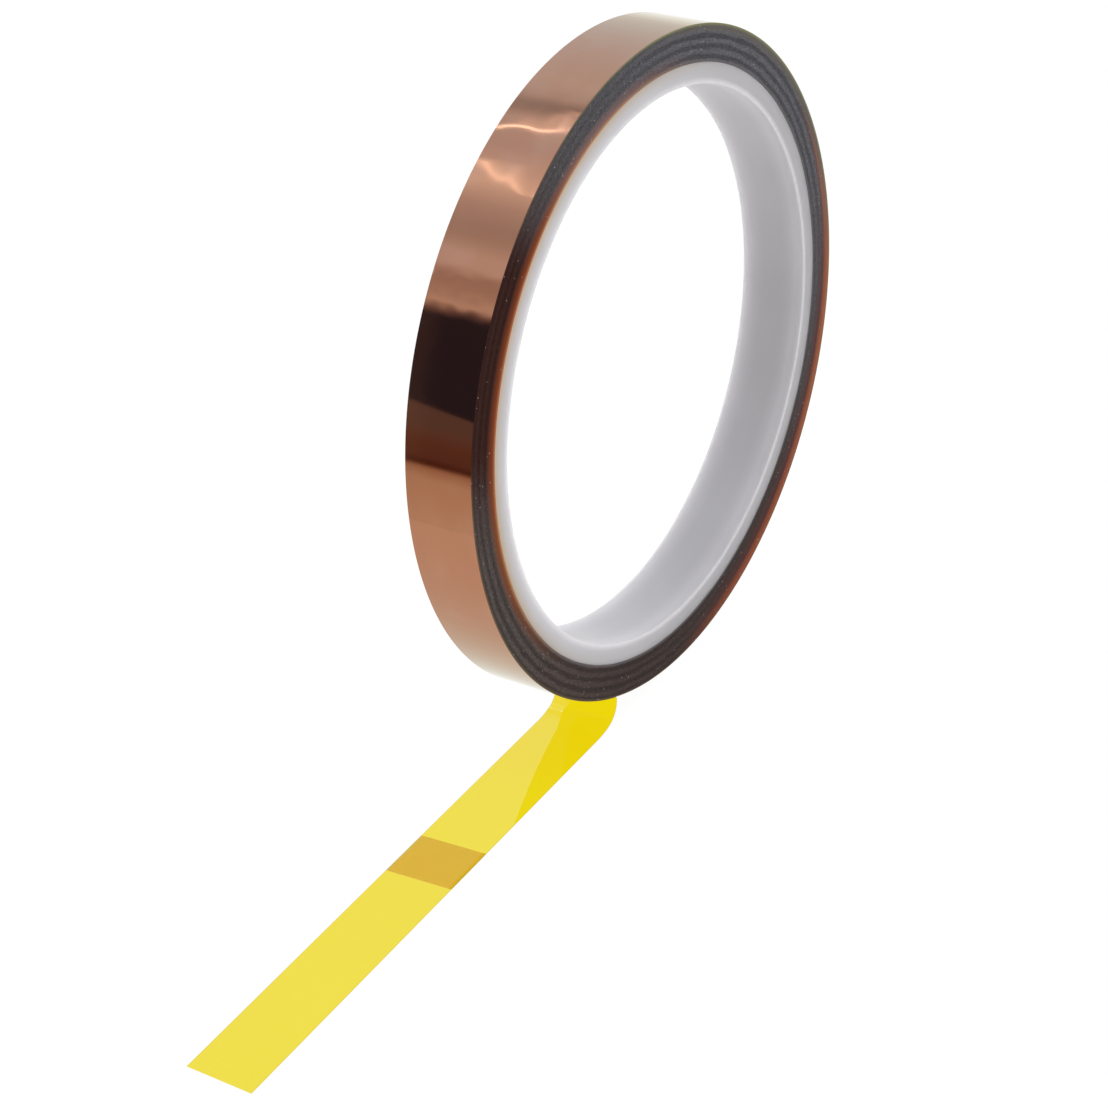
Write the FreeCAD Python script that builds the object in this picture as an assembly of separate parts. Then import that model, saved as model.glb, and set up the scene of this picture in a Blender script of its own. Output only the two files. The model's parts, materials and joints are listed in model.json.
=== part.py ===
import FreeCAD, Part
import math
import os

# A part-used roll of narrow film tape on a plain plastic core. It stands on its rim, and its free end is
# peeled from the underside, folded back over itself and laid flat. Millimetres and degrees.
# Origin: centre of the core's bore. Roll axis: Y. Up: +Z. The free end points to -X.

# Core
bore_radius = 38.5  # slips over a 3 inch spindle
core_wall = 2.9
core_edge_chamfer = 0.5  # broken edge at each mouth of the bore

# Tape
tape_width = 10.0  # the core is cut to the same width
tape_thickness = 0.06  # film and adhesive together
wound_depth = 5.15  # from the core out to the last turn

# Winding: bands of turns that wandered a little to one side and stand in from the roll's faces
band_count = 3
band_depth = 0.06
band_share = 0.35  # width of a set-in band, as a share of the pitch between bands

# Peel: where the last turn leaves the roll, and how it drops, bends and meets the surface
peel_angle = 23.8  # from the lowest point of the roll, towards the free end
peel_gap = 0.05  # running gap that lets the roll turn past the bend
peel_radius = 0.35  # tight turn at the peel line
drop_lean = 12.5  # the film drops almost straight, leaning this far towards the free end
bend_radius = 3.3
landing_angle = 15.0  # slope left when the film comes close to the surface
landing_radius = 11.5  # long flat curve that brings it down

# Free end, measured along the surface from the foot of the bend
free_length = 78.1
stretch_length = 20.0  # the part that grows as more tape is drawn off

# Tab stuck to the adhesive side
tab_length = 8.1
tab_thickness = 0.03
tab_to_tip = 41.9  # from the tab's far edge to the tape's cut end
tab_skew = 0.7  # the tab was stuck on slightly askew: its rear side lies this much nearer the tip

core_radius = bore_radius + core_wall
roll_radius = core_radius + wound_depth
half_width = tape_width / 2
mean_turn = math.pi * (core_radius + roll_radius)
turn_count = wound_depth / tape_thickness


def direction(angle):
    """Unit vector in the XZ plane, turned from +X towards +Z."""
    return FreeCAD.Vector(math.cos(math.radians(angle)), 0, math.sin(math.radians(angle)))


def extrude_across(wire):
    """Solid made from a closed outline at the roll's front face, as wide as the tape."""
    return Part.Face(wire).extrude(FreeCAD.Vector(0, tape_width, 0))


def at_front(point):
    return FreeCAD.Vector(point.x, -half_width, point.z)


def plain_ring(inner, outer, front, rear):
    """Flat ring about the roll's axis between two planes across it."""
    axis = FreeCAD.Vector(0, 1, 0)
    start = FreeCAD.Vector(0, front, 0)
    disc = Part.makeCylinder(outer, rear - front, start, axis)
    return disc.cut(Part.makeCylinder(inner, rear - front, start, axis))


peel_side = direction(-90 - peel_angle)  # from the roll's axis to the peel line

# The last turn is an exact spiral of two half circles, so the roll stands on the second of them.
first_half_radius = roll_radius - tape_thickness / 4
second_half_radius = roll_radius - 3 * tape_thickness / 4
centre_shift = tape_thickness / 4
surface_height = -centre_shift * peel_side.z - second_half_radius


def make_core():
    """Plain tube with a broken edge at each end of its bore, turned from its half section."""
    mouth = bore_radius + core_edge_chamfer
    wall_end = half_width - core_edge_chamfer
    section = [
        (bore_radius, -wall_end),
        (mouth, -half_width),
        (core_radius, -half_width),
        (core_radius, half_width),
        (mouth, half_width),
        (bore_radius, wall_end),
    ]
    corners = [FreeCAD.Vector(radius, y, 0) for radius, y in section]
    outline = Part.makePolygon(corners + corners[:1])
    return Part.Face(outline).revolve(FreeCAD.Vector(0, 0, 0), FreeCAD.Vector(0, 1, 0), 360)


def half_turn(centre, radius, start_side):
    """Half circle that starts on start_side of its centre and runs on round, against the unwinding."""
    across = FreeCAD.Vector(-start_side.z, 0, start_side.x)
    ends = [centre + start_side * radius, centre - across * radius, centre - start_side * radius]
    return Part.Arc(*[at_front(point) for point in ends]).toShape()


def make_wound_tape():
    """All the wound turns as one ring: a one-turn spiral outside, with a step one tape thick where it ends."""
    first_half = half_turn(peel_side * centre_shift, first_half_radius, peel_side)
    second_half = half_turn(peel_side * -centre_shift, second_half_radius, peel_side * -1)
    under_step = at_front(peel_side * (roll_radius - tape_thickness))
    step = Part.makeLine(under_step, at_front(peel_side * roll_radius))
    ring = extrude_across(Part.Wire([first_half, second_half, step]))
    ring = ring.cut(Part.makeCylinder(core_radius, tape_width, FreeCAD.Vector(0, -half_width, 0),
                                      FreeCAD.Vector(0, 1, 0)))
    pitch = wound_depth / (band_count + 1)
    half_band = pitch * band_share / 2
    for number in range(1, band_count + 1):
        middle = core_radius + number * pitch
        for front, rear in ((-half_width, band_depth - half_width), (half_width - band_depth, half_width)):
            ring = ring.cut(plain_ring(middle - half_band, middle + half_band, front, rear))
    return ring


class FilmPath:
    """Follows the middle of the film in the XZ plane and keeps the outlines of both its faces."""

    def __init__(self, start, heading):
        self.point = start
        self.heading = heading
        self.left_edges = []
        self.right_edges = []

    def faces_at(self, point, heading):
        offset = direction(heading + 90) * (tape_thickness / 2)
        return at_front(point + offset), at_front(point - offset)

    def straight(self, length):
        end = self.point + direction(self.heading) * length
        before = self.faces_at(self.point, self.heading)
        after = self.faces_at(end, self.heading)
        self.left_edges.append(Part.makeLine(before[0], after[0]))
        self.right_edges.append(Part.makeLine(before[1], after[1]))
        self.point = end

    def turn_right(self, radius, angle):
        centre = self.point + direction(self.heading - 90) * radius
        stations = []
        for share in (0, 0.5, 1):
            heading = self.heading - angle * share
            stations.append(self.faces_at(centre + direction(heading + 90) * radius, heading))
        self.left_edges.append(Part.Arc(*[pair[0] for pair in stations]).toShape())
        self.right_edges.append(Part.Arc(*[pair[1] for pair in stations]).toShape())
        self.heading -= angle
        self.point = centre + direction(self.heading + 90) * radius

    def solid(self):
        starts = self.left_edges[0].firstVertex().Point, self.right_edges[0].firstVertex().Point
        ends = self.faces_at(self.point, self.heading)
        caps = [Part.makeLine(*starts), Part.makeLine(*ends)]
        return extrude_across(Part.Wire(Part.__sortEdges__(self.left_edges + self.right_edges + caps)))


def make_tape_bend():
    """The film from the peel line to where it lies flat. Returns the solid and the foot's X."""
    start = peel_side * (roll_radius + peel_gap + tape_thickness / 2)
    path = FilmPath(start, -peel_angle)
    path.turn_right(peel_radius, 90 + drop_lean - peel_angle)

    to_landing = 90 - landing_angle - drop_lean
    lean, landing = math.radians(drop_lean), math.radians(landing_angle)
    bend_drop = bend_radius * (math.cos(landing) - math.sin(lean))
    landing_drop = landing_radius * (1 - math.cos(landing))
    height_left = path.point.z - surface_height - tape_thickness / 2
    path.straight((height_left - bend_drop - landing_drop) / math.cos(lean))
    path.turn_right(bend_radius, to_landing)
    path.turn_right(landing_radius, landing_angle)
    return path.solid(), path.point.x


def flat_outline(near_x, far_x, skew, bottom, height):
    """Flat piece as wide as the tape, its ends set askew by the same amount."""
    corners = [(near_x, -1), (far_x, -1), (far_x, 1), (near_x, 1)]
    points = [FreeCAD.Vector(x - side * skew / 2, side * half_width, bottom) for x, side in corners]
    return Part.Face(Part.makePolygon(points + points[:1])).extrude(FreeCAD.Vector(0, 0, height))


def make_free_end(foot_x):
    """The stretch that grows, the end beyond it with the tab's bed in its adhesive, and the tab."""
    split_x = foot_x - stretch_length
    tip_x = foot_x - free_length
    tab_far_x = tip_x + tab_to_tip
    tab = flat_outline(tab_far_x + tab_length, tab_far_x, tab_skew, surface_height, tab_thickness)
    stretch = flat_outline(foot_x, split_x, 0, surface_height, tape_thickness)
    end = flat_outline(split_x, tip_x, 0, surface_height, tape_thickness).cut(tab)
    return {"tail_stretch": stretch, "tail_end": end, "end_tab": tab}


bend, foot = make_tape_bend()
pieces = {"core": make_core(), "wound_tape": make_wound_tape(), "tape_bend": bend}
pieces.update(make_free_end(foot))

os.makedirs("parts", exist_ok=True)
for name, shape in pieces.items():
    shape.exportStep("parts/" + name + ".step")
    box = shape.BoundBox
    print(f"{name}: valid {shape.isValid()}, solids {len(shape.Solids)}, volume {shape.Volume:.3f} mm3,"
          f" x {box.XMin:.2f}..{box.XMax:.2f}, z {box.ZMin:.3f}..{box.ZMax:.3f}")
print(f"{turn_count:.0f} turns, {mean_turn * turn_count / 1000:.1f} m wound, foot of the bend at x {foot:.3f},"
      f" surface at z {surface_height:.4f}")
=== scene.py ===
import json
import math

import bmesh
import bpy
from mathutils import Matrix, Vector, noise


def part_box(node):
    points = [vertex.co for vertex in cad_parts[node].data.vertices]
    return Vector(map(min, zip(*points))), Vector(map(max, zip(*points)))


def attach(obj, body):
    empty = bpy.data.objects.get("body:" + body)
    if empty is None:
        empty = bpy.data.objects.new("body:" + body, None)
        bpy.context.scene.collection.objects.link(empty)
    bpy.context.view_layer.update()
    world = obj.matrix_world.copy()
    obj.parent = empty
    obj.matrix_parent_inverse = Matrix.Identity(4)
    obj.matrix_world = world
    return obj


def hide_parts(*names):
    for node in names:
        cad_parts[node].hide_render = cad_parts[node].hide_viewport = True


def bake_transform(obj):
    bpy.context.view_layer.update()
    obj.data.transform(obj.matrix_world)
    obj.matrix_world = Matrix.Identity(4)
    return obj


# Part-used roll of amber film tape on a white core, standing on its rim with its free end laid flat.
# Lengths in the settings are millimetres and angles are degrees; meshes are made in metres.

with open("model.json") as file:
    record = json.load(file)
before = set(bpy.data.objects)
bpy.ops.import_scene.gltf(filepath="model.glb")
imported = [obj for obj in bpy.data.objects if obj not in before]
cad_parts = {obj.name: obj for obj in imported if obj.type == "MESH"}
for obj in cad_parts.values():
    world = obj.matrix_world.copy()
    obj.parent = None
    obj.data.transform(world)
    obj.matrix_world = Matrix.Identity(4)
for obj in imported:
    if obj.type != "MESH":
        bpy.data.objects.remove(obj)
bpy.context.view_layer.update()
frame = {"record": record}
mm = 0.001
print("frame loaded")

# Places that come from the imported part
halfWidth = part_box("core")[1].y / mm
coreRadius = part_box("core")[1].x / mm
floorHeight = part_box("tail_end")[0].z / mm
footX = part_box("tail_stretch")[1].x / mm
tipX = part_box("tail_end")[0].x / mm
tabLow, tabHigh = [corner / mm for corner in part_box("end_tab")]
mounts = frame["record"]["mounts"]
boreRadius = next(mount["dims"]["r_mm"] for mount in mounts if mount["name"] == "core_bore")
tapeThickness = (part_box("tail_end")[1].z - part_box("tail_end")[0].z) / mm
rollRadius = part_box("wound_tape")[1].z / mm + tapeThickness / 4

weldDistance = 0.002  # points nearer than this are joined where a ring closes


def direction(angle):
    # unit vector in the plane of the roll, turned from +X towards +Z
    return Vector((math.cos(math.radians(angle)), 0, math.sin(math.radians(angle))))


def smoothStep(value, low, high):
    share = min(1.0, max(0.0, (value - low) / (high - low)))
    return share * share * (3 - 2 * share)


def makePiece(name, rows, ringed=False, capStart=False, capEnd=False, slots=None, sharp=35):
    # Each row is a closed loop of points in millimetres, and the rows are joined in order.
    grid = bmesh.new()
    loops = [[grid.verts.new(Vector(point) * mm) for point in row] for row in rows]
    size = len(loops[0])
    for i in range(len(loops) if ringed else len(loops) - 1):
        here = loops[i]
        there = loops[(i + 1) % len(loops)]
        for j in range(size):
            k = (j + 1) % size
            face = grid.faces.new((here[j], here[k], there[k], there[j]))
            face.material_index = slots[j] if slots else 0
    if capStart:
        grid.faces.new(loops[0])
    if capEnd:
        grid.faces.new(list(reversed(loops[-1])))
    if ringed:
        bmesh.ops.remove_doubles(grid, verts=grid.verts, dist=weldDistance * mm)
    bmesh.ops.recalc_face_normals(grid, faces=grid.faces)
    for face in grid.faces:
        face.smooth = True
    mesh = bpy.data.meshes.new(name)
    grid.to_mesh(mesh)
    grid.free()
    mesh.set_sharp_from_angle(angle=math.radians(sharp))
    piece = bpy.data.objects.new(name, mesh)
    bpy.context.scene.collection.objects.link(piece)
    return piece


# Camera: a long lens from the front left, a little above

cameraSettings = {
    "place": (-276.89, -183.13, 183.75),
    "forward": (0.68185, 0.49218, -0.54115),
    "right": (0.53964, -0.83788, -0.08211),
    "lens": 90.31,
    "sensorWidth": 36,
    "clipStart": 0.01,
}


def makeCamera():
    s = cameraSettings
    camera = bpy.data.cameras.new("camera")
    camera.lens = s["lens"]
    camera.sensor_width = s["sensorWidth"]
    camera.clip_start = s["clipStart"]
    back = -Vector(s["forward"]).normalized()
    right = Vector(s["right"]).normalized()
    up = back.cross(right)
    holder = bpy.data.objects.new("camera", camera)
    turn = Matrix((right, up, back)).transposed()
    holder.matrix_world = Matrix.Translation(Vector(s["place"]) * mm) @ turn.to_4x4()
    bpy.context.scene.collection.objects.link(holder)
    bpy.context.scene.camera = holder


makeCamera()
print("camera placed")


# Shader helpers and the effects that several finishes share


def addNode(tree, kind, inputs=None, **settings):
    node = tree.nodes.new(kind)
    for key, value in settings.items():
        setattr(node, key, value)
    for socket, value in (inputs or {}).items():
        if isinstance(value, bpy.types.NodeSocket):
            tree.links.new(value, node.inputs[socket])
        else:
            node.inputs[socket].default_value = value
    return node


def calculate(tree, operation, first, second=0.0, clamp=False):
    node = addNode(tree, "ShaderNodeMath", {0: first, 1: second}, operation=operation, use_clamp=clamp)
    return node.outputs[0]


def product(tree, first, *others):
    for value in others:
        first = calculate(tree, "MULTIPLY", first, value)
    return first


def inverse(tree, value):
    return calculate(tree, "SUBTRACT", 1.0, value)


def rampBetween(tree, source, fromLow, fromHigh, toLow=0.0, toHigh=1.0):
    node = addNode(tree, "ShaderNodeMapRange", {
        "Value": source, "From Min": fromLow, "From Max": fromHigh, "To Min": toLow, "To Max": toHigh,
    }, interpolation_type="SMOOTHSTEP")
    return node.outputs["Result"]


def mixColours(tree, factor, first, second, blend="MIX"):
    node = addNode(tree, "ShaderNodeMix", {"Factor": factor}, data_type="RGBA", blend_type=blend)
    for socket, value in ((node.inputs[6], first), (node.inputs[7], second)):
        if isinstance(value, bpy.types.NodeSocket):
            tree.links.new(value, socket)
        else:
            socket.default_value = (*value, 1)
    return node.outputs[2]


def objectPlace(tree):
    return addNode(tree, "ShaderNodeTexCoord").outputs["Object"]


def noiseShade(tree, source, contrast):
    # brightness about 1 that follows a noise, most of whose values lie between 0.35 and 0.65
    return rampBetween(tree, source, 0.35, 0.65, 1 - contrast / 2, 1 + contrast / 2)


def bumpNormal(tree, height, depth, strength=1.0):
    # depth in millimetres
    bump = addNode(tree, "ShaderNodeBump", {"Strength": strength, "Distance": depth * mm, "Height": height})
    return bump.outputs[0]


def darkened(colour, share):
    return tuple(channel * share for channel in colour)


def newGroup(name, inputs, outputs):
    group = bpy.data.node_groups.new(name, "ShaderNodeTree")
    for label, value in inputs.items():
        socket = group.interface.new_socket(label, in_out="INPUT", socket_type="NodeSocketFloat")
        socket.default_value = value
    for label, kind in outputs.items():
        group.interface.new_socket(label, in_out="OUTPUT", socket_type=kind)
    start = addNode(group, "NodeGroupInput")
    end = addNode(group, "NodeGroupOutput")
    return group, start, end


def placeGroup(tree, group, inputs=None):
    node = tree.nodes.new("ShaderNodeGroup")
    node.node_tree = group
    for socket, value in (inputs or {}).items():
        node.inputs[socket].default_value = value
    return node


def makeRingPlace():
    # distance from the roll's axis in millimetres, the side of the roll as a unit vector, and a pattern
    # space that runs round with the turns
    group, start, end = newGroup("ringPlace", {"Around": 10, "Outward": 1}, {
        "Radius": "NodeSocketFloat", "Side": "NodeSocketVector", "Along Turns": "NodeSocketVector",
    })
    place = objectPlace(group)
    flat = addNode(group, "ShaderNodeVectorMath", {0: place, 1: (1, 0, 1)}, operation="MULTIPLY").outputs[0]
    length = addNode(group, "ShaderNodeVectorMath", {0: flat}, operation="LENGTH").outputs["Value"]
    radius = product(group, length, 1 / mm)
    unit = addNode(group, "ShaderNodeVectorMath", {0: flat}, operation="NORMALIZE").outputs[0]
    scaled = addNode(group, "ShaderNodeVectorMath", {0: unit}, operation="SCALE")
    group.links.new(start.outputs["Around"], scaled.inputs["Scale"])
    parts = addNode(group, "ShaderNodeSeparateXYZ", {0: scaled.outputs[0]})
    outward = product(group, radius, start.outputs["Outward"])
    joined = addNode(group, "ShaderNodeCombineXYZ", {
        "X": parts.outputs["X"], "Y": outward, "Z": parts.outputs["Z"],
    })
    group.links.new(radius, end.inputs["Radius"])
    group.links.new(unit, end.inputs["Side"])
    group.links.new(joined.outputs[0], end.inputs["Along Turns"])
    return group


def makeDustSpecks():
    # tiny pale specks, scattered and of uneven size
    largest = 0.28  # share of the distance between specks
    group, start, end = newGroup("dustSpecks", {"Scale": 900, "Amount": 0.1}, {"Mask": "NodeSocketFloat"})
    cells = addNode(group, "ShaderNodeTexVoronoi", {"Vector": objectPlace(group)}, feature="F1")
    group.links.new(start.outputs["Scale"], cells.inputs["Scale"])
    chance = addNode(group, "ShaderNodeSeparateColor", {0: cells.outputs["Color"]})
    chosen = calculate(group, "LESS_THAN", chance.outputs[0], start.outputs["Amount"])
    size = product(group, chance.outputs[1], largest)
    spot = calculate(group, "SUBTRACT", size, cells.outputs["Distance"])
    sharp = calculate(group, "MULTIPLY", spot, 12, clamp=True)
    group.links.new(product(group, sharp, chosen), end.inputs["Mask"])
    return group


def makeFilmWaviness():
    # shallow unevenness of stretched film: long soft waves with a finer grain on top
    finer = 9  # times the scale of the long waves
    group, start, end = newGroup("filmWaviness", {"Scale": 120, "Grain": 0.15}, {
        "Height": "NodeSocketFloat",
    })
    place = objectPlace(group)
    slow = addNode(group, "ShaderNodeTexNoise", {"Vector": place, "Detail": 1.0, "Roughness": 0.4})
    group.links.new(start.outputs["Scale"], slow.inputs["Scale"])
    fineScale = product(group, start.outputs["Scale"], finer)
    fine = addNode(group, "ShaderNodeTexNoise", {"Vector": place, "Detail": 2.0, "Scale": fineScale})
    grain = product(group, fine.outputs[0], start.outputs["Grain"])
    height = calculate(group, "ADD", slow.outputs[0], grain)
    group.links.new(height, end.inputs["Height"])
    return group


ringPlace = makeRingPlace()
dustSpecks = makeDustSpecks()
filmWaviness = makeFilmWaviness()


def newMaterial(name):
    material = bpy.data.materials.new(name)
    material.use_nodes = True
    tree = material.node_tree
    tree.nodes.clear()
    output = addNode(tree, "ShaderNodeOutputMaterial")
    return material, tree, output


# Finishes

woundFilmLook = {
    "colour": (0.40, 0.165, 0.082),
    "smudgeColour": (0.42, 0.185, 0.10),
    "grazingTint": (0.88, 0.97, 0.86),
    "roughness": 0.045,
    "smudgedRoughness": 0.072,
    "patchScale": 150,
    "smudgeSpan": (0.45, 0.75),
    "roughSpan": (0.3, 0.8),
    "coat": 0.4,
    "coatRoughness": 0.08,
    "waves": {"Scale": 160, "Grain": 0.01},
    "bumpDepth": 0.0012,
    "rearGlow": 0.06,
    "rearGlowStarts": 1.0,
}


def makeWoundFilm():
    # many turns seen through each other make a copper-brown mirror
    look = woundFilmLook
    material, tree, output = newMaterial("woundFilm")
    place = objectPlace(tree)
    patches = addNode(tree, "ShaderNodeTexNoise", {
        "Vector": place, "Scale": look["patchScale"], "Detail": 2,
    })
    smudge = rampBetween(tree, patches.outputs[0], *look["smudgeSpan"])
    colour = mixColours(tree, smudge, look["colour"], look["smudgeColour"])
    rough = rampBetween(tree, patches.outputs[0], *look["roughSpan"], look["roughness"],
                        look["smudgedRoughness"])
    waves = placeGroup(tree, filmWaviness, look["waves"])
    across = addNode(tree, "ShaderNodeSeparateXYZ", {0: place}).outputs["Y"]
    metal = rampBetween(tree, across, look["rearGlowStarts"] * mm, halfWidth * mm,
                        1.0, 1.0 - look["rearGlow"])
    shader = addNode(tree, "ShaderNodeBsdfPrincipled", {
        "Base Color": colour, "Metallic": metal, "Roughness": rough,
        "Normal": bumpNormal(tree, waves.outputs["Height"], look["bumpDepth"]),
        "Coat Weight": look["coat"], "Coat Roughness": look["coatRoughness"],
        "Specular Tint": (*look["grazingTint"], 1),
    })
    tree.links.new(shader.outputs[0], output.inputs[0])
    return material


tapeEdgeLook = {
    "cool": (0.084, 0.082, 0.091),
    "warm": (0.051, 0.041, 0.037),
    "deep": (0.030, 0.010, 0.006),
    "lowTint": (0.85, 0.72, 0.70),
    "rosy": (0.092, 0.0363, 0.0331),
    "outerGlow": (0.345, 0.108, 0.047),
    "innerGlow": (0.225, 0.064, 0.020),
    "topGlow": (0.225, 0.128, 0.118),
    "redSide": (0.92, 0.70, 0.72),
    "coreShade": (0.135, 0.12, 0.125),
    "coreLine": (0.50, 0.24, 0.09),
    "outerShade": (0.125, 0.11, 0.095),
    "rimLine": (0.135, 0.092, 0.050),
    "rimGlow": (0.26, 0.26, 0.12),
    "rimStrength": 0.8,
    "leftLight": 0.22,
    # the side of the roll that each colour and each painted light and shade belongs to: the angle it faces,
    # where it starts, where it is full
    "facing": {
        "cool": (50, -0.3, 0.95),
        "deep": (152, 0.90, 0.975),
        "faintRight": (-42, 0.45, 0.9),
        "faintLeft": (135, 0.45, 0.9),
        "left": (205, 0.7, 0.97),
        "low": (-90, 0.35, 0.95),
        "rosy": (-40, 0.6, 0.95),
        "outerGlow": (-30, 0.42, 0.82),
        "outerShade": (42, 0.6, 0.95),
        "amber": (148, 0.2, 0.8),
        "top": (90, 0.75, 0.98),
        "red": (152, 0.82, 0.97),
        "rimGlow": (45, 0.2, 0.9),
    },
    # distances from the core where each colour starts and where it is full
    "rosyDepth": (1.0, 3.3),
    "outerShadeDepth": (3.6, 4.8),
    "innerGlowDepth": (2.1, 0.25),
    "coreLineDepth": (0.5, 0.0),
    "outerGlowDepth": 2.8,
    # and distances from the rim
    "outerGlowFull": 0.35,
    "rimDepth": (0.5, 0.05),
    # rings of painted shade: heights of the wave where it is darkest and palest, and how faint the rings
    # turn on two sides
    "ringPitch": 1.35,
    "ringStart": 1.22,
    "ringWander": 3.0,
    "ringSpan": (-0.9, 0.8),
    "faintRight": 0.6,
    "faintLeft": 0.8,
    "bandContrast": 0.56,
    "lineContrast": 0.50,
    "grainContrast": 0.32,
    "grainScale": 3600,
    "dust": (0.52, 0.49, 0.46),
    "specks": {"Scale": 1900, "Amount": 0.12},
    "roughness": 0.5,
    "gloss": 0.03,
    "bumpDepth": 0.02,
    "bumpStrength": 0.6,
}


def facingSide(tree, side, angle, low, high):
    # 1 on the side of the roll that faces the angle, fading to 0 away from it
    towards = tuple(direction(angle))
    match = addNode(tree, "ShaderNodeVectorMath", {0: side, 1: towards}, operation="DOT_PRODUCT")
    return rampBetween(tree, match.outputs["Value"], low, high)


def makeTapeEdges():
    # cut edges of the wound turns: charcoal in faint rings of painted shade, with a painted cool sheen
    # above, a painted dark reflection on the upper left and painted amber glow where light soaks in beside
    # the core and through the last turns; with pale dust stuck to the adhesive
    look = tapeEdgeLook
    material, tree, output = newMaterial("tapeEdges")
    ring = placeGroup(tree, ringPlace, {"Around": 11, "Outward": 0.7})
    radius = ring.outputs["Radius"]
    side = ring.outputs["Side"]
    facing = {name: facingSide(tree, side, *span) for name, span in look["facing"].items()}

    def fromCore(start, full):
        return rampBetween(tree, radius, coreRadius + start, coreRadius + full)

    # painted cool sheen over the upper right, and a painted dark reflection on the upper left
    colour = mixColours(tree, facing["cool"], look["warm"], look["cool"])
    colour = mixColours(tree, facing["deep"], colour, look["deep"])

    # painted shade: dark rings where a band of turns stands in, their edges wandering in and out
    wander = addNode(tree, "ShaderNodeTexNoise", {
        "Vector": ring.outputs["Along Turns"], "Scale": 1.0, "Detail": 2.0,
    })
    drift = product(tree, calculate(tree, "SUBTRACT", wander.outputs[0], 0.5), look["ringWander"])
    depth = calculate(tree, "SUBTRACT", radius, coreRadius)
    phase = product(tree, depth, 2 * math.pi / look["ringPitch"])
    phase = calculate(tree, "ADD", phase, calculate(tree, "ADD", drift, look["ringStart"]))
    bands = rampBetween(tree, calculate(tree, "SINE", phase), *look["ringSpan"], -0.5, 0.5)
    faint = calculate(tree, "ADD", product(tree, facing["faintRight"], look["faintRight"]),
                      product(tree, facing["faintLeft"], look["faintLeft"]))
    strength = product(tree, inverse(tree, faint), look["bandContrast"])
    bandShade = calculate(tree, "ADD", product(tree, bands, strength), 1.0)

    # single turns as fine lines, and the grain of their cut edges
    fineRing = placeGroup(tree, ringPlace, {"Around": 70, "Outward": 5})
    lines = addNode(tree, "ShaderNodeTexNoise", {
        "Vector": fineRing.outputs["Along Turns"], "Scale": 1.0, "Detail": 3.0, "Roughness": 0.8,
    })
    lineShade = noiseShade(tree, lines.outputs[0], look["lineContrast"])
    grain = addNode(tree, "ShaderNodeTexNoise", {
        "Vector": objectPlace(tree), "Scale": look["grainScale"], "Detail": 1.0,
    })
    grainShade = noiseShade(tree, grain.outputs[0], look["grainContrast"])
    colour = mixColours(tree, 1.0, colour, product(tree, bandShade, lineShade, grainShade), "MULTIPLY")

    # painted light on the outer turns: a rosy glow and a brighter glow where light comes through the last
    # turns on the right, and paler outer turns on the upper right; then painted light and shade over the
    # whole face
    rosy = product(tree, fromCore(*look["rosyDepth"]), facing["rosy"])
    colour = mixColours(tree, rosy, colour, look["rosy"])
    outer = rampBetween(tree, radius, coreRadius + look["outerGlowDepth"],
                        rollRadius - look["outerGlowFull"])
    colour = mixColours(tree, product(tree, outer, facing["outerGlow"]), colour, look["outerGlow"])
    outerLit = product(tree, fromCore(*look["outerShadeDepth"]), facing["outerShade"])
    colour = mixColours(tree, outerLit, colour, look["outerShade"])
    # painted light on the left, and painted shade at the bottom, darker and redder
    left = calculate(tree, "ADD", 1.0, product(tree, facing["left"], look["leftLight"]))
    sideShade = mixColours(tree, facing["low"], (1, 1, 1), look["lowTint"])
    sideShade = mixColours(tree, 1.0, sideShade, left, "MULTIPLY")
    colour = mixColours(tree, 1.0, colour, sideShade, "MULTIPLY")

    # painted amber glow beside the core where light soaks in, pinker at the top, and a fine line at the core
    # and at the rim
    glow = mixColours(tree, facing["top"], look["innerGlow"], look["topGlow"])
    inner = product(tree, fromCore(*look["innerGlowDepth"]), facing["amber"])
    colour = mixColours(tree, inner, colour, glow)
    # the line at the core: a painted amber glow on the side where light soaks in, paler grey elsewhere
    coreLine = mixColours(tree, facing["amber"], look["coreShade"], look["coreLine"])
    colour = mixColours(tree, fromCore(*look["coreLineDepth"]), colour, coreLine)
    # painted: redder on the upper left, with the painted dark reflection
    redder = mixColours(tree, facing["red"], (1, 1, 1), look["redSide"])
    colour = mixColours(tree, 1.0, colour, redder, "MULTIPLY")
    # the line at the rim: paler, with a painted yellow glow on the upper right
    rimStart, rimFull = [rollRadius - distance for distance in look["rimDepth"]]
    rim = rampBetween(tree, radius, rimStart, rimFull, 0.0, look["rimStrength"])
    rimColour = mixColours(tree, facing["rimGlow"], look["rimLine"], look["rimGlow"])
    colour = mixColours(tree, product(tree, rim, inverse(tree, facing["deep"])), colour, rimColour)

    specks = placeGroup(tree, dustSpecks, look["specks"])
    colour = mixColours(tree, specks.outputs["Mask"], colour, look["dust"])
    shader = addNode(tree, "ShaderNodeBsdfPrincipled", {
        "Base Color": colour, "Roughness": look["roughness"], "Specular IOR Level": look["gloss"],
        "Normal": bumpNormal(tree, lines.outputs[0], look["bumpDepth"], look["bumpStrength"]),
    })
    tree.links.new(shader.outputs[0], output.inputs[0])
    return material


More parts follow.
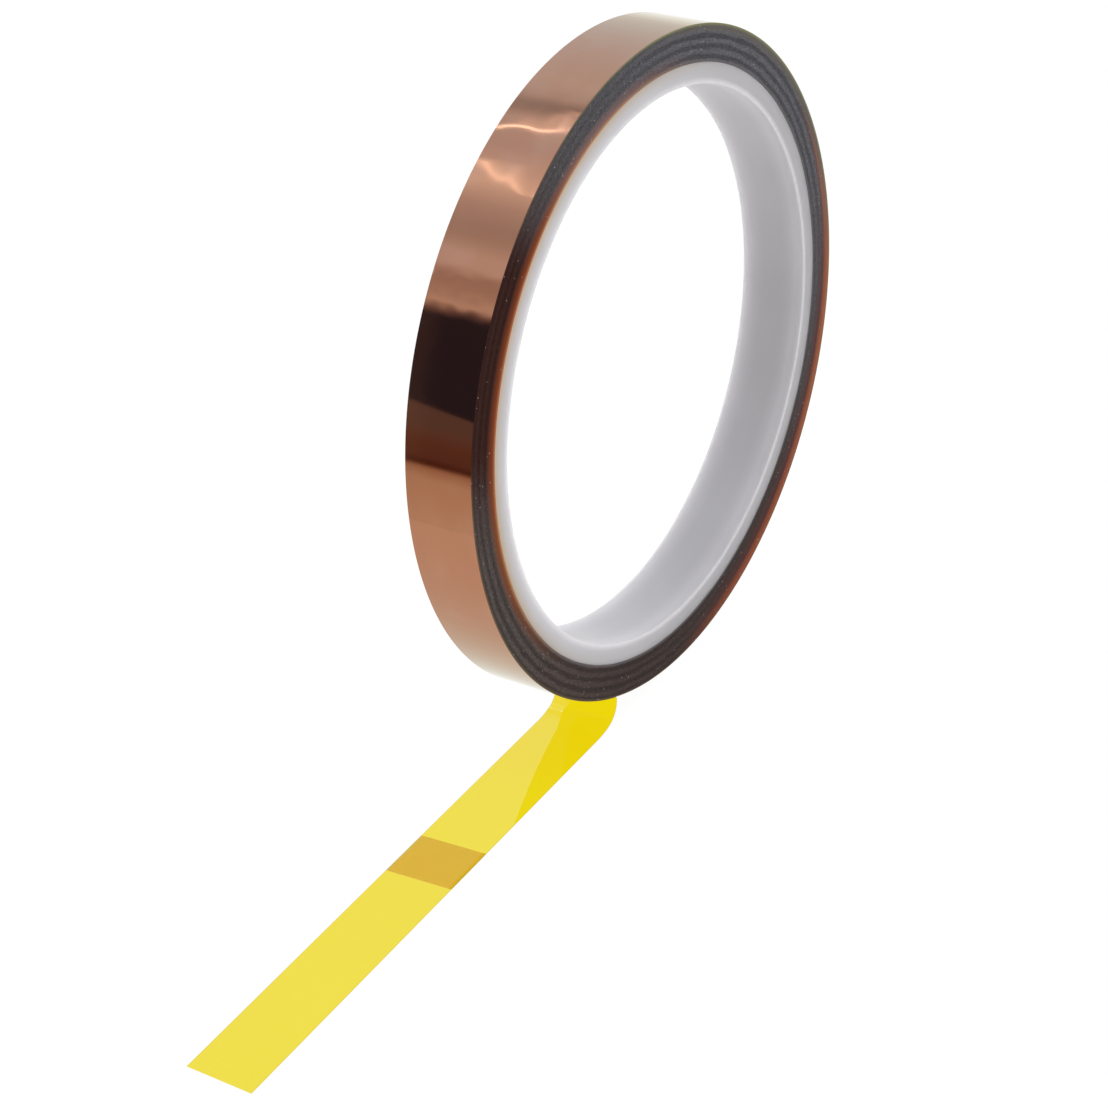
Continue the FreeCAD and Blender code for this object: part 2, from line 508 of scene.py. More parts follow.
corePlasticLook = {
    "colour": (0.57, 0.555, 0.575),
    "cloudShade": 0.965,
    "cloudScale": 90,
    "cloudSpan": (0.3, 0.7),
    "creamEdge": (0.60, 0.50, 0.39),
    "creamDepth": 1.7,
    "creamFacing": (152, -0.1, 0.8),
    "frontDepth": 1.5,
    "rightShade": 0.24,
    "rightFacing": (-18, -0.7, 0.8),
    "rearLight": 0.06,
    "middleLevel": 0.95,
    "mouthLight": 0.16,
    "mouthLightStarts": 1.2,
    "boreSpan": (0.4, 0.1),  # this and the next two are distances from the bore
    "cutRise": (0.02, 0.12),
    "cutFall": (1.0, 0.25),
    "cutColour": (0.61, 0.595, 0.615),
    "nibbleSpan": (0.3, 0.6),
    "nibbleDepth": 0.35,
    "roughness": 0.42,
    "gloss": 0.4,
    "softness": 0.85,
    "softDepth": 4.0,
    "grainScale": 4000,
    "bumpDepth": 0.02,
    "bumpStrength": 0.25,
}


def makeCorePlastic():
    # plain white plastic that lets some light through, with painted light and shade on its faces and in its
    # bore
    look = corePlasticLook
    material, tree, output = newMaterial("corePlastic")
    place = objectPlace(tree)
    clouds = addNode(tree, "ShaderNodeTexNoise", {"Vector": place, "Scale": look["cloudScale"], "Detail": 2})
    shade = rampBetween(tree, clouds.outputs[0], *look["cloudSpan"])
    colour = mixColours(tree, shade, darkened(look["colour"], look["cloudShade"]), look["colour"])
    ring = placeGroup(tree, ringPlace, {"Around": 14, "Outward": 0.5})
    radius = ring.outputs["Radius"]
    side = ring.outputs["Side"]
    across = addNode(tree, "ShaderNodeSeparateXYZ", {0: place}).outputs["Y"]
    frontFace = rampBetween(tree, across, (look["frontDepth"] - halfWidth) * mm, -halfWidth * mm)

    def fromBore(start, full):
        return rampBetween(tree, radius, boreRadius + start, boreRadius + full)

    # the front face: painted amber light beside the tape on one side, and painted shade on the other
    besideTape = rampBetween(tree, radius, coreRadius - look["creamDepth"], coreRadius)
    amberLit = product(tree, besideTape, facingSide(tree, side, *look["creamFacing"]), frontFace)
    colour = mixColours(tree, amberLit, colour, look["creamEdge"])
    shaded = product(tree, facingSide(tree, side, *look["rightFacing"]), frontFace, look["rightShade"])

    # painted light and shade: lighter towards the rear, and in the bore darker in the middle and lighter
    # towards its mouths
    halfLight = look["rearLight"] / 2
    level = rampBetween(tree, across, -halfWidth * mm, halfWidth * mm, 1 - halfLight, 1 + halfLight)
    mouth = rampBetween(tree, calculate(tree, "ABSOLUTE", across), look["mouthLightStarts"] * mm,
                        halfWidth * mm, look["middleLevel"], look["middleLevel"] + look["mouthLight"])
    bore = product(tree, calculate(tree, "SUBTRACT", mouth, 1.0), fromBore(*look["boreSpan"]))
    level = calculate(tree, "SUBTRACT", calculate(tree, "ADD", level, bore), shaded)
    colour = mixColours(tree, 1.0, colour, level, "MULTIPLY")

    # the cut edge round each mouth, nibbled by the saw
    nibbles = addNode(tree, "ShaderNodeTexNoise", {"Vector": ring.outputs["Along Turns"], "Detail": 3})
    kept = rampBetween(tree, nibbles.outputs[0], *look["nibbleSpan"], 1 - look["nibbleDepth"], 1.0)
    cut = product(tree, fromBore(*look["cutRise"]), fromBore(*look["cutFall"]), kept)
    colour = mixColours(tree, cut, colour, look["cutColour"])
    grain = addNode(tree, "ShaderNodeTexNoise", {"Vector": place, "Scale": look["grainScale"], "Detail": 2})
    shader = addNode(tree, "ShaderNodeBsdfPrincipled", {
        "Base Color": colour, "Roughness": look["roughness"], "Specular IOR Level": look["gloss"],
        "Subsurface Weight": look["softness"], "Subsurface Radius": (1.0, 1.0, 1.0),
        "Subsurface Scale": look["softDepth"] * mm,
        "Normal": bumpNormal(tree, grain.outputs[0], look["bumpDepth"], look["bumpStrength"]),
    })
    tree.links.new(shader.outputs[0], output.inputs[0])
    return material


clearFilmLook = {
    "tint": (0.9375, 0.853, 0.06),
    "cloudShade": 0.985,
    "cloudScale": 90,
    "edgeTint": (0.88, 0.78, 0.06),
    "edgeSpan": (0.14, 0.05),  # distances from the edge of the film
    "bendTint": (1.0, 0.982, 1.1),
    "bendSpan": (20, 3),  # distances from the foot of the bend
    "scuffHeights": (0.5, 1.3),  # painted shade: no gloss on the front part of the bend above the floor
    "scuffAcross": (3.4, 1.6),
    "ior": 1.455,
    "roughness": 0.03,
    "backedGloss": 0.67,  # share of the gloss that is left where the tab backs the film
    "waves": {"Scale": 140, "Grain": 0.02},
    "bumpDepth": 0.002,
    "bumpStrength": 0.5,
}


def makeClearFilm(name, gloss):
    # one layer of film: clear amber yellow with a glossy face; gloss is the share of it that shows
    look = clearFilmLook
    material, tree, output = newMaterial(name)
    place = objectPlace(tree)
    parts = addNode(tree, "ShaderNodeSeparateXYZ", {0: place})
    along = parts.outputs["X"]
    across = parts.outputs["Y"]
    height = parts.outputs["Z"]
    cloud = addNode(tree, "ShaderNodeTexNoise", {"Vector": place, "Scale": look["cloudScale"], "Detail": 1})
    tint = mixColours(tree, cloud.outputs[0], darkened(look["tint"], look["cloudShade"]), look["tint"])
    edgeStart, edgeFull = [(halfWidth - distance) * mm for distance in look["edgeSpan"]]
    cutEdge = rampBetween(tree, calculate(tree, "ABSOLUTE", across), edgeStart, edgeFull)
    tint = mixColours(tree, cutEdge, tint, look["edgeTint"])
    # painted shade: the film is tinted a little deeper orange near the foot of the bend
    bendStart, bendFull = [(footX - distance) * mm for distance in look["bendSpan"]]
    bendShadeMask = rampBetween(tree, along, bendStart, bendFull)
    tint = mixColours(tree, bendShadeMask, tint, mixColours(tree, 1.0, tint, look["bendTint"], "MULTIPLY"))
    through = addNode(tree, "ShaderNodeBsdfTransparent", {"Color": tint})

    waves = placeGroup(tree, filmWaviness, look["waves"])
    polish = addNode(tree, "ShaderNodeBsdfPrincipled", {
        "Base Color": (1, 1, 1, 1), "Metallic": 1.0, "Roughness": look["roughness"],
        "Normal": bumpNormal(tree, waves.outputs["Height"], look["bumpDepth"], look["bumpStrength"]),
    })
    # painted shade: the gloss is left out on the front part of the bend above the floor
    risen = rampBetween(tree, height, *[(floorHeight + rise) * mm for rise in look["scuffHeights"]])
    frontPart = rampBetween(tree, across, *[y * mm for y in look["scuffAcross"]])
    glossKept = inverse(tree, product(tree, risen, frontPart))
    outside = inverse(tree, addNode(tree, "ShaderNodeNewGeometry").outputs["Backfacing"])
    mirror = addNode(tree, "ShaderNodeFresnel", {"IOR": look["ior"]})
    share = product(tree, mirror.outputs[0], outside, glossKept, gloss)
    mixed = addNode(tree, "ShaderNodeMixShader", {0: share, 1: through.outputs[0], 2: polish.outputs[0]})
    tree.links.new(mixed.outputs[0], output.inputs[0])
    return material


tabPaperLook = {
    "colour": (1.0, 0.15, 0.02),
    "fibreShade": 0.8,
    "fibreScale": 2200,
    "fibreSpan": (0.35, 0.7),
    "edgeColour": (0.55, 0.18, 0.05),
    "edgeSpan": (0.5, 0.1),
    "cover": 0.24,
    "roughness": 0.8,
    "gloss": 0.2,
    "bumpDepth": 0.01,
    "bumpStrength": 0.5,
}


def makeTabPaper():
    # thin paper that lets most of what is under it show
    look = tabPaperLook
    material, tree, output = newMaterial("tabPaper")
    place = objectPlace(tree)
    fibres = addNode(tree, "ShaderNodeTexNoise", {
        "Vector": place, "Scale": look["fibreScale"], "Detail": 4, "Distortion": 0.6,
    })
    amount = rampBetween(tree, fibres.outputs[0], *look["fibreSpan"])
    colour = mixColours(tree, amount, darkened(look["colour"], look["fibreShade"]), look["colour"])
    across = calculate(tree, "ABSOLUTE", addNode(tree, "ShaderNodeSeparateXYZ", {0: place}).outputs["Y"])
    border = rampBetween(tree, across, *[(halfWidth - distance) * mm for distance in look["edgeSpan"]])
    colour = mixColours(tree, border, colour, look["edgeColour"])
    shader = addNode(tree, "ShaderNodeBsdfPrincipled", {
        "Base Color": colour, "Roughness": look["roughness"], "Specular IOR Level": look["gloss"],
        "Normal": bumpNormal(tree, fibres.outputs[0], look["bumpDepth"], look["bumpStrength"]),
        "Alpha": look["cover"],
    })
    tree.links.new(shader.outputs[0], output.inputs[0])
    return material


woundFilm = makeWoundFilm()
tapeEdges = makeTapeEdges()
corePlastic = makeCorePlastic()
clearFilm = makeClearFilm("clearFilm", 1.0)
backedFilm = makeClearFilm("backedFilm", clearFilmLook["backedGloss"])
tabPaper = makeTabPaper()
print("finishes made")


# The core: a cut length of plastic tube, its ends a little uneven from the saw

coreSettings = {
    "brokenEdge": 0.12,
    "edgeRound": 0.06,
    "segments": 360,
    "endWander": 0.02,
    "endLumps": 4,
    "wallWander": 0.03,
    "wallLumps": 1.7,
    "wallShape": [(0.6, 0.6), (0.2, 1.0)],  # shares of the half width, and of the wander that shows there
    "lipShape": (0.5, 0.6),  # shares of the wander and of the rounding at the inner corner of the mouth
}


def makeCoreTube():
    s = coreSettings
    mouth = boreRadius + s["brokenEdge"]
    lip = s["edgeRound"]
    lipWander, lipDepth = s["lipShape"]
    rows = []
    for i in range(s["segments"]):
        ray = direction(i * 360 / s["segments"])
        wobble = noise.noise(ray * s["wallLumps"]) * s["wallWander"]
        wander = abs(noise.noise(ray * s["endLumps"] + Vector((5, 0, 0)))) * s["endWander"]
        end = halfWidth - wander
        half = [
            (mouth - lip + wobble * lipWander, end - lip * lipDepth),
            (mouth + lip, end),
            (coreRadius - lip, end),
            (coreRadius, end - lip),
        ]
        wall = [(boreRadius, halfWidth - s["brokenEdge"] - lip)]
        wall += [(boreRadius + wobble * share, halfWidth * place) for place, share in s["wallShape"]]
        front = [(r, -y) for r, y in half]
        rear = [(r, y) for r, y in reversed(half)]
        bore = [*wall, *[(r, -y) for r, y in reversed(wall)]]
        rows.append([(ray.x * r, y, ray.z * r) for r, y in [*front, *rear, *bore]])
    piece = makePiece("coreTube", rows, ringed=True, sharp=50)
    piece.data.materials.append(corePlastic)
    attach(piece, "roll")
    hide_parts("core")


makeCoreTube()
print("core made")


# The wound turns, in three groups: those next to the core, the middle and the last turns

turnSettings = {
    "peelAngle": 23.8,
    "segments": 720,
    "sideStep": 0.13,
    "bandCount": 3,
    "bandDepth": 0.05,
    "bandSpan": (0.7, 0.6),  # share of a band's depth that it always has, and that comes and goes
    "bandLumps": 1.3,
    "turnWander": 0.012,
    "turnLumps": (9, 1.2),  # from turn to turn, and round the roll
    "evenShare": 0.06,  # share of the depth next to the core and the rim where the edges run even
    "edgeRound": 0.03,
    "facePoints": 36,
    "faceWave": 0.003,
    "faceLumps": (0.15, 5),  # across the tape, and round the roll
    "rippleReach": 2.5,  # times the spread of a ripple
    "ripples": [
        {"at": 118, "spread": 13, "height": 0.020, "across": 0.22, "along": 6},
        {"at": 141, "spread": 5, "height": 0.012, "across": 0.5, "along": 34},
    ],
    "groups": {"firstTurns": (0.01, 1.4), "middleTurns": (1.41, 3.4), "lastTurns": (3.41, 5.15)},
}
peelDirection = -90 - turnSettings["peelAngle"]


def lastTurnRadius(turned):
    # the last turn is two half circles, stepping in by one thickness over the whole turn
    quarter = tapeThickness / 4
    if turned <= 180:
        return rollRadius - quarter + quarter * math.cos(math.radians(turned))
    return rollRadius - 3 * quarter - quarter * math.cos(math.radians(turned))


def sideRelief(radius, ray, side):
    # how far the edge of a turn stands in from the roll's face; the offsets in the noise keep the two sides
    # of the roll and its patterns apart
    s = turnSettings
    share = (radius - coreRadius) / (rollRadius - coreRadius)
    band = 0.5 - 0.5 * math.cos(share * (s["bandCount"] + 1) * 2 * math.pi)
    drift = noise.noise(ray * s["bandLumps"] + Vector((share * 2.5, side * 3.1, 0)))
    steady, varied = s["bandSpan"]
    fromTurn, around = s["turnLumps"]
    fine = noise.noise(Vector((radius * fromTurn, side * 7 + ray.x * around, ray.z * around)))
    fade = smoothStep(share, 0, s["evenShare"]) * (1 - smoothStep(share, 1 - s["evenShare"], 1))
    relief = s["bandDepth"] * (1 - band) * (steady + varied * drift) + s["turnWander"] * (1 + fine)
    return max(0.0, relief) * fade


def faceHeight(y, ray):
    # gentle unevenness of the outermost film, with ripples where it was handled
    s = turnSettings
    across, around = s["faceLumps"]
    height = s["faceWave"] * noise.noise(Vector((y * across, ray.x * around, ray.z * around)))
    for ripple in s["ripples"]:
        away = math.degrees(ray.angle(direction(ripple["at"]))) / ripple["spread"]
        if away < s["rippleReach"]:
            place = Vector((y * ripple["across"], ray.x * ripple["along"], ray.z * ripple["along"] + 9))
            height += ripple["height"] * noise.noise(place) * math.exp(-away * away)
    return height


def makeTurns(name, inner, outer, outermost):
    s = turnSettings
    count = max(4, round((outer - inner) / s["sideStep"]))
    rows = []
    for i in range(s["segments"] + 1):
        turned = i * 360 / s["segments"]
        ray = direction(peelDirection - turned)
        top = lastTurnRadius(turned) if outermost else coreRadius + outer
        radii = [coreRadius + inner + (top - coreRadius - inner) * j / count for j in range(count)]
        radii.append(top - (s["edgeRound"] if outermost else 0))
        loop = [(r, -halfWidth + sideRelief(r, ray, 0)) for r in radii]
        slots = [0] * len(loop)  # 0 is the cut edges' finish, 1 the film's
        if outermost:
            for j in range(s["facePoints"] + 1):
                y = (2 * j / s["facePoints"] - 1) * (halfWidth - s["edgeRound"])
                loop.append((top + faceHeight(y, ray), y))
                slots.append(1)
        slots[-1] = 0  # the rounded rear edge is a cut edge, as the front one is
        loop += [(r, halfWidth - sideRelief(r, ray, 1)) for r in reversed(radii)]
        slots += [0] * len(radii)
        rows.append([(ray.x * r, y, ray.z * r) for r, y in loop])
    if not outermost:
        rows.pop()  # a plain ring closes on its first row; the last turn ends in a step instead
    piece = makePiece(name, rows, ringed=True, slots=slots, sharp=40)
    piece.data.materials.append(tapeEdges)
    piece.data.materials.append(woundFilm)
    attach(piece, "roll")
    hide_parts("wound_tape")


for turnsName, (innerDepth, outerDepth) in turnSettings["groups"].items():
    makeTurns(turnsName, innerDepth, outerDepth, turnsName == "lastTurns")
print("wound turns made")


# The tab stuck to the adhesive side, a little askew

tabSettings = {
    "skew": 0.7,
    "lengthPoints": 12,
    "acrossPoints": 14,
}
tabNearX = tabHigh.x - tabSettings["skew"] / 2  # the tab's ends, on the middle line of the tape
tabFarX = tabLow.x + tabSettings["skew"] / 2


def skewAt(y, skew):
    # how far a line across the tape lies towards the tape's end there, when it is askew by this much
    return skew / 2 * y / halfWidth


def makeEndTab():
    s = tabSettings
    rows = []
    for i in range(s["lengthPoints"] + 1):
        share = i / s["lengthPoints"]
        upper = []
        lower = []
        for j in range(s["acrossPoints"] + 1):
            y = (2 * j / s["acrossPoints"] - 1) * halfWidth
            x = tabNearX + (tabFarX - tabNearX) * share - skewAt(y, s["skew"])
            upper.append((x, y, tabHigh.z))
            lower.append((x, y, tabLow.z))
        rows.append([*upper, *reversed(lower)])
    piece = makePiece("endTab", rows, capStart=True, capEnd=True, sharp=50)
    piece.data.materials.append(tabPaper)
    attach(piece, "tip")
    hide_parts("end_tab")


makeEndTab()
print("tab made")


# The free film: peeled at the underside, dropped, folded back and laid flat

filmSettings = {
    "peelGap": 0.05,
    "peelRadius": 0.35,
    "dropLean": 12.5,
    "bendRadius": 3.3,
    "landingAngle": 15.0,
    "landingRadius": 11.5,
    "joinX": -35.0,  # where the free end's piece takes over from the bend's
    "liftLength": 7,  # a length from the foot of the bend
    "peelSteps": 16,
    "dropSteps": 6,
    "bendSteps": 24,
    "landingSteps": 10,
    "laidSteps": {"afterBend": 24, "beforeTab": 36, "overTab": 16, "afterTab": 80},
    "acrossPoints": 20,
    "edgeRound": 0.012,
    "bedGap": 0.002,
    "bedStep": 0.01,
    "skewReach": 9,  # from the tab, over which the rows turn square to the tape again
}
laidHeading = -180  # flat, towards -X


def filmRoute():
    # middle of the film as (point, heading), from the peel line to the foot of the bend
    s = filmSettings
    side = direction(peelDirection)
    point = side * (rollRadius + s["peelGap"] + tapeThickness / 2)
    heading = peelDirection + 90
    route = [(point, heading)]

    def turnRight(radius, angle, steps):
        nonlocal point, heading
        centre = point + direction(heading - 90) * radius
        for step in range(1, steps + 1):
            now = heading - angle * step / steps
            route.append((centre + direction(now + 90) * radius, now))
        point, heading = route[-1]

    turnRight(s["peelRadius"], 90 + s["dropLean"] + heading, s["peelSteps"])
    lean = math.radians(s["dropLean"])
    landing = math.radians(s["landingAngle"])
    bendDrop = s["bendRadius"] * (math.cos(landing) - math.sin(lean))
    landingDrop = s["landingRadius"] * (1 - math.cos(landing))
    left = point.z - floorHeight - tapeThickness / 2 - bendDrop - landingDrop
    drop = left / math.cos(lean)
    start = point
    for step in range(1, s["dropSteps"] + 1):
        route.append((start + direction(heading) * drop * step / s["dropSteps"], heading))
    point = route[-1][0]
    turnRight(s["bendRadius"], 90 - s["landingAngle"] - s["dropLean"], s["bendSteps"])
    turnRight(s["landingRadius"], s["landingAngle"], s["landingSteps"])
    return route


def filmLoop(point, heading, skew=0.0, bed=0.0):
    # closed section of the film across its width: the adhesive face, which the bed raises over the tab, and
    # then the other face
    s = filmSettings
    normal = direction(heading - 90)
    half = tapeThickness / 2
    corner = s["edgeRound"]
    adhesive = []
    glossy = []
    for j in range(s["acrossPoints"] + 1):
        y = (2 * j / s["acrossPoints"] - 1) * (halfWidth - corner)
        place = point + Vector((-skewAt(y, skew), y, 0))
        adhesive.append(place - normal * (half - bed))
        glossy.append(place + normal * half)
    front = point + Vector((skew / 2, -halfWidth, bed / 2))
    rear = point + Vector((-skew / 2, halfWidth, bed / 2))
    return [front, *adhesive, rear, *reversed(glossy)]


def makeFilm(name, route, capStart, capEnd):
    rows = [filmLoop(*station) for station in route]
    piece = makePiece(name, rows, capStart=capStart, capEnd=capEnd, sharp=50)
    piece.data.materials.append(clearFilm)
    return piece


def makePeelBend():
    s = filmSettings
    route = filmRoute()
    foot = route[-1][0]
    steps = s["laidSteps"]["afterBend"]
    for step in range(1, steps + 1):
        route.append((foot.lerp(Vector((s["joinX"], 0, foot.z)), step / steps), laidHeading))
    piece = makeFilm("peelBend", route, True, False)
    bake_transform(piece)
    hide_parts("tape_bend")


def makeFreeEnd():
    # the rows turn askew towards the tab's ends, where the adhesive face steps up over it
    s = filmSettings
    steps = s["laidSteps"]
    height = floorHeight + tapeThickness / 2
    bed = tabHigh.z - tabLow.z + s["bedGap"]
    stretches = [
        (s["joinX"], tabNearX + s["bedStep"], steps["beforeTab"], 0),
        (tabNearX, tabFarX, steps["overTab"], bed),
        (tabFarX - s["bedStep"], tipX, steps["afterTab"], 0),
    ]
    route = []
    for start, end, count, raised in stretches:
        for i in range(count + 1):
            x = start + (end - start) * i / count
            away = max(0, x - tabNearX, tabFarX - x)
            skew = tabSettings["skew"] * (1 - smoothStep(away, 0, s["skewReach"]))
            route.append((Vector((x, 0, height)), laidHeading, skew, raised))
    piece = makeFilm("freeEnd", route, False, True)
    piece.data.materials.append(backedFilm)
    for face in piece.data.polygons:
        middle = face.center / mm
        if tabFarX < middle.x + skewAt(middle.y, tabSettings["skew"]) < tabNearX:
            face.material_index = 1
    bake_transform(piece)
    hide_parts("tail_stretch", "tail_end")


makePeelBend()
makeFreeEnd()
print("free film made")


# Studio: white floor and surround, soft lamps, and cards that only reflections see

studioSettings = {
    "floorSize": 8000,
    "floorDrop": 0.02,
    "floorColour": (0.95, 0.95, 0.95),
    "floorShade": 0.995,
    "floorGrain": 300,
    "floorRoughness": 0.9,
    "floorGloss": 0.1,
    "whiteShare": 0.93,
    "whiteStrength": 1.03,
    "glossStrength": 0.08,
    "surroundLight": 0.50,
    "lamps": {
        "overhead": {"place": (100, -60, 420), "size": 300, "power": 0.55},
        "behind": {"place": (300, 800, 300), "size": 700, "power": 2.6},
        "rightSide": {"place": (800, 100, 200), "size": 600, "power": 3.0},
        "front": {"place": (-160, -420, 120), "size": 260, "power": 0.55},
    },
}

# What polished film mirrors of the room, by the angle about the roll's axis, from +X up over the roll to -X
mirroredRoom = [
    (0, (0.97, 0.98, 1.0)), (10, (0.95, 1.05, 1.15)), (18, (0.97, 1.10, 1.29)), (34, (0.98, 1.17, 1.45)),
    (55, (1.01, 1.26, 1.56)), (62, (0.89, 1.08, 1.33)), (66, (0.58, 0.70, 0.86)), (69, (0.62, 0.75, 0.93)),
    (73, (0.99, 1.24, 1.56)), (85, (0.98, 1.19, 1.54)), (95, (1.20, 1.44, 1.75)), (99, (1.38, 1.66, 1.96)),
    (107, (0.93, 1.10, 1.36)), (115, (0.73, 0.85, 1.04)), (119, (0.77, 0.88, 1.03)),
    (125, (1.02, 1.18, 1.44)), (129, (1.04, 1.19, 1.45)), (133, (0.70, 0.71, 0.80)),
    (137, (0.75, 0.76, 0.85)), (142, (0.99, 1.06, 1.15)), (144, (0.30, 0.26, 0.30)),
    (146, (0.045, 0.046, 0.085)), (176, (0.040, 0.043, 0.078)), (180, (0.045, 0.045, 0.075)),
]
rampGain = 2.0  # ramps hold their colours divided by this, because some of the room is brighter than white

# Bright lamp edges, for reflections alone: brightness, and points with the width there
lampEdges = {
    "frontLampEdge": {"level": 6.5, "points": [
        (128, 549, 865, 2), (163, 538, 867, 6), (182, 524, 868, 8), (202, 512, 869, 4),
        (230, 509.5, 860, 1.6), (325, 507.5, 830, 0.8),
    ]},
    "softLampEdge": {"level": 1.75, "points": [
        (188, 527, 867, 11), (245, 525, 860, 9), (300, 523, 850, 4),
    ]},
    "rearLampEdge": {"level": 3.4, "points": [
        (-60, 552, 879, 9), (-92, 545, 878, 8), (-112, 539, 877, 7), (-154, 529, 875, 6),
        (-180, 521, 870, 5), (-196, 512, 866, 3),
    ]},
    "softRearEdge": {"level": 2.1, "points": [
        (-51, 553, 882, 20), (-83, 546, 881, 19), (-104, 540, 880, 18), (-146, 530, 878, 16),
        (-173, 522, 873, 14), (-190, 513, 869, 8),
    ]},
    "faintRearEdge": {"level": 1.66, "points": [
        (-42, 553, 886, 36), (-74, 546, 885, 34), (-95, 540, 884, 32), (-138, 530, 882, 29),
        (-166, 522, 877, 25), (-184, 513, 873, 14),
    ]},
}
lampEdgeTint = (0.84, 1.0, 1.17)

# Something low and brown that stands beyond the table, its top edge slanting, for reflections alone
lowShape = {
    "points": [(-300, 110, 0), (-300, 240, 0), (-300, 240, 80), (-300, 110, -4.6)],
    "colour": (0.20, 0.17, 0.18),
}

# The darker end of the table, for reflections alone: colours by height over distance, seen from the roll
tableEnd = {
    "starts": -105,
    "reaches": -3900,
    "aside": 3900,
    "raised": 0.2,
    "shades": [
        (0.0, (0.20, 0.16, 0.16)), (0.06, (0.22, 0.16, 0.16)), (0.11, (0.21, 0.12, 0.10)),
        (0.17, (0.19, 0.105, 0.09)), (0.192, (0.12, 0.05, 0.035)), (0.2, (0.20, 0.09, 0.06)),
        (0.214, (0.66, 0.52, 0.43)), (0.26, (0.90, 0.85, 0.78)), (0.33, (0.94, 0.90, 0.82)),
        (0.43, (1.0, 1.0, 0.97)),
    ],
}


def seenRays(tree):
    # 1 for the rays that show the white surround: camera, gloss and light passing through
    path = addNode(tree, "ShaderNodeLightPath")
    seen = calculate(tree, "MAXIMUM", path.outputs["Is Camera Ray"], path.outputs["Is Glossy Ray"])
    return calculate(tree, "MAXIMUM", seen, path.outputs["Is Transmission Ray"])


def fillRamp(ramp, stops):
    elements = ramp.color_ramp.elements
    elements.remove(elements[0])
    for number, (position, colour) in enumerate(stops):
        stop = elements[0] if number == 0 else elements.new(position)
        stop.position = position
        stop.color = (*darkened(colour, 1 / rampGain), 1)


def makeWorld():
    world = bpy.data.worlds.new("surround")
    world.use_nodes = True
    tree = world.node_tree
    tree.nodes.clear()
    output = addNode(tree, "ShaderNodeOutputWorld")
    light = addNode(tree, "ShaderNodeBackground", {
        "Color": (1, 1, 1, 1), "Strength": studioSettings["surroundLight"],
    })
    white = addNode(tree, "ShaderNodeBackground", {"Color": (1, 1, 1, 1), "Strength": 1.0})
    mixed = addNode(tree, "ShaderNodeMixShader", {
        0: seenRays(tree), 1: light.outputs[0], 2: white.outputs[0],
    })

    toward = addNode(tree, "ShaderNodeTexCoord").outputs["Generated"]
    parts = addNode(tree, "ShaderNodeSeparateXYZ", {0: toward})
    turn = calculate(tree, "ABSOLUTE", calculate(tree, "ARCTAN2", parts.outputs["Z"], parts.outputs["X"]))
    share = calculate(tree, "DIVIDE", turn, math.pi)
    ramp = addNode(tree, "ShaderNodeValToRGB", {"Fac": share})
    fillRamp(ramp, [(angle / 180, colour) for angle, colour in mirroredRoom])
    mirrored = addNode(tree, "ShaderNodeBackground", {"Color": ramp.outputs[0], "Strength": rampGain})
    glossy = addNode(tree, "ShaderNodeLightPath").outputs["Is Glossy Ray"]
    shown = addNode(tree, "ShaderNodeMixShader", {0: glossy, 1: mixed.outputs[0], 2: mirrored.outputs[0]})
    tree.links.new(shown.outputs[0], output.inputs[0])
    bpy.context.scene.world = world


def makeFloorFinish():
    s = studioSettings
    material, tree, output = newMaterial("floorPaper")
    grain = addNode(tree, "ShaderNodeTexNoise", {
        "Vector": objectPlace(tree), "Scale": s["floorGrain"], "Detail": 2,
    })
    slight = darkened(s["floorColour"], s["floorShade"])
    paper = addNode(tree, "ShaderNodeBsdfPrincipled", {
        "Base Color": mixColours(tree, grain.outputs[0], slight, s["floorColour"]),
        "Roughness": s["floorRoughness"], "Specular IOR Level": s["floorGloss"],
    })
    glossy = addNode(tree, "ShaderNodeLightPath").outputs["Is Glossy Ray"]
    strength = calculate(tree, "ADD", product(tree, glossy, s["glossStrength"]), s["whiteStrength"])
    white = addNode(tree, "ShaderNodeEmission", {"Color": (1, 1, 1, 1), "Strength": strength})
    share = product(tree, seenRays(tree), s["whiteShare"])
    mixed = addNode(tree, "ShaderNodeMixShader", {0: share, 1: paper.outputs[0], 2: white.outputs[0]})
    tree.links.new(mixed.outputs[0], output.inputs[0])
    return material


def makeGlow(name, colour, strength):
    material, tree, output = newMaterial(name)
    glow = addNode(tree, "ShaderNodeEmission", {"Color": (*colour, 1), "Strength": strength})
    tree.links.new(glow.outputs[0], output.inputs[0])
    return material


def makeTableShades():
    # the floor's slope from the roll's axis gives the place on the ramp
    material, tree, output = newMaterial("tableShades")
    away = addNode(tree, "ShaderNodeSeparateXYZ", {0: objectPlace(tree)}).outputs["X"]
    slope = calculate(tree, "DIVIDE", floorHeight * mm, away)
    ramp = addNode(tree, "ShaderNodeValToRGB", {"Fac": slope})
    fillRamp(ramp, tableEnd["shades"])
    glow = addNode(tree, "ShaderNodeEmission", {"Color": ramp.outputs[0], "Strength": rampGain})
    tree.links.new(glow.outputs[0], output.inputs[0])
    return material


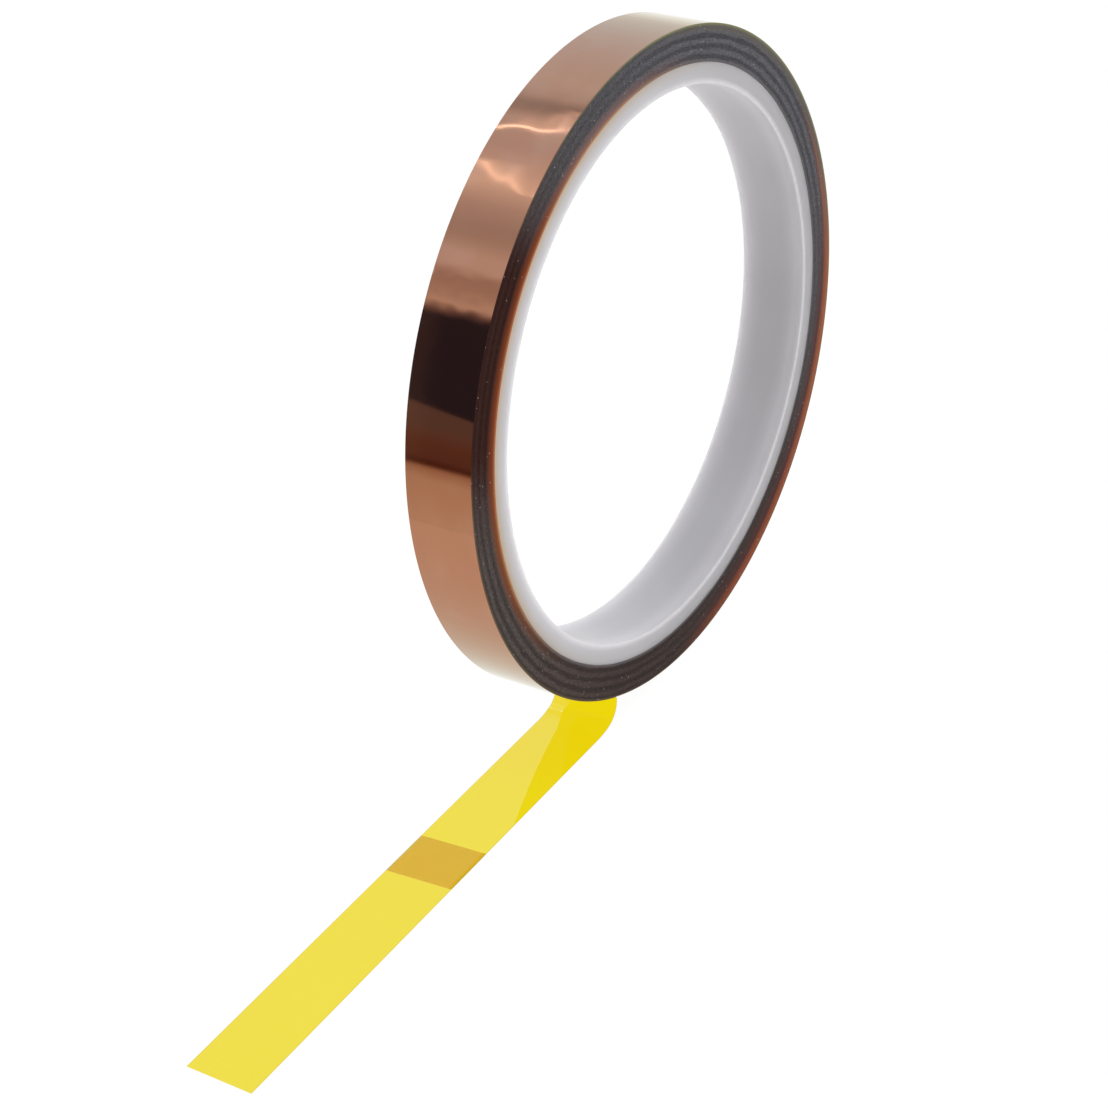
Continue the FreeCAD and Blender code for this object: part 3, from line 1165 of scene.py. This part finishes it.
def makeCard(name, points, faces, material):
    # flat card or ribbon that isn't part of the roll, its points in millimetres
    mesh = bpy.data.meshes.new(name)
    mesh.from_pydata([Vector(point) * mm for point in points], [], faces)
    mesh.materials.append(material)
    card = bpy.data.objects.new(name, mesh)
    bpy.context.scene.collection.objects.link(card)
    return card


def reflectionsOnly(card):
    card.visible_camera = False
    card.visible_diffuse = False
    card.visible_shadow = False
    card.visible_transmission = False


def makeFloor():
    far = studioSettings["floorSize"] / 2
    z = floorHeight - studioSettings["floorDrop"]
    corners = [(-far, -far, z), (far, -far, z), (far, far, z), (-far, far, z)]
    makeCard("floor", corners, [(0, 1, 2, 3)], makeFloorFinish())


def makeReflectionCards():
    z = floorHeight + tableEnd["raised"]
    near = tableEnd["starts"]
    far = tableEnd["reaches"]
    aside = tableEnd["aside"]
    corners = [(near, -aside, z), (near, aside, z), (far, aside, z), (far, -aside, z)]
    reflectionsOnly(makeCard("tableEnd", corners, [(0, 1, 2, 3)], makeTableShades()))
    reflectionsOnly(makeCard("lowShape", lowShape["points"], [(0, 1, 2, 3)],
                             makeGlow("lowShape", lowShape["colour"], 1.0)))
    for name, edge in lampEdges.items():
        points = []
        along = Vector(edge["points"][-1][:3]) - Vector(edge["points"][0][:3])
        for x, y, z, width in edge["points"]:
            middle = Vector((x, y, z))
            side = along.cross(middle).normalized() * width / 2
            points += [middle - side, middle + side]
        faces = [(2 * i, 2 * i + 1, 2 * i + 3, 2 * i + 2) for i in range(len(edge["points"]) - 1)]
        reflectionsOnly(makeCard(name, points, faces, makeGlow(name, lampEdgeTint, edge["level"])))


def makeLamps():
    for name, lamp in studioSettings["lamps"].items():
        light = bpy.data.lights.new(name, "AREA")
        light.energy = lamp["power"]
        light.size = lamp["size"] * mm
        holder = bpy.data.objects.new(name, light)
        place = Vector(lamp["place"]) * mm
        holder.location = place
        holder.rotation_euler = (-place).to_track_quat("-Z", "Y").to_euler()
        holder.visible_glossy = False
        bpy.context.scene.collection.objects.link(holder)


makeWorld()
makeFloor()
makeReflectionCards()
makeLamps()
bpy.context.scene.view_settings.view_transform = "Standard"
print("studio made")
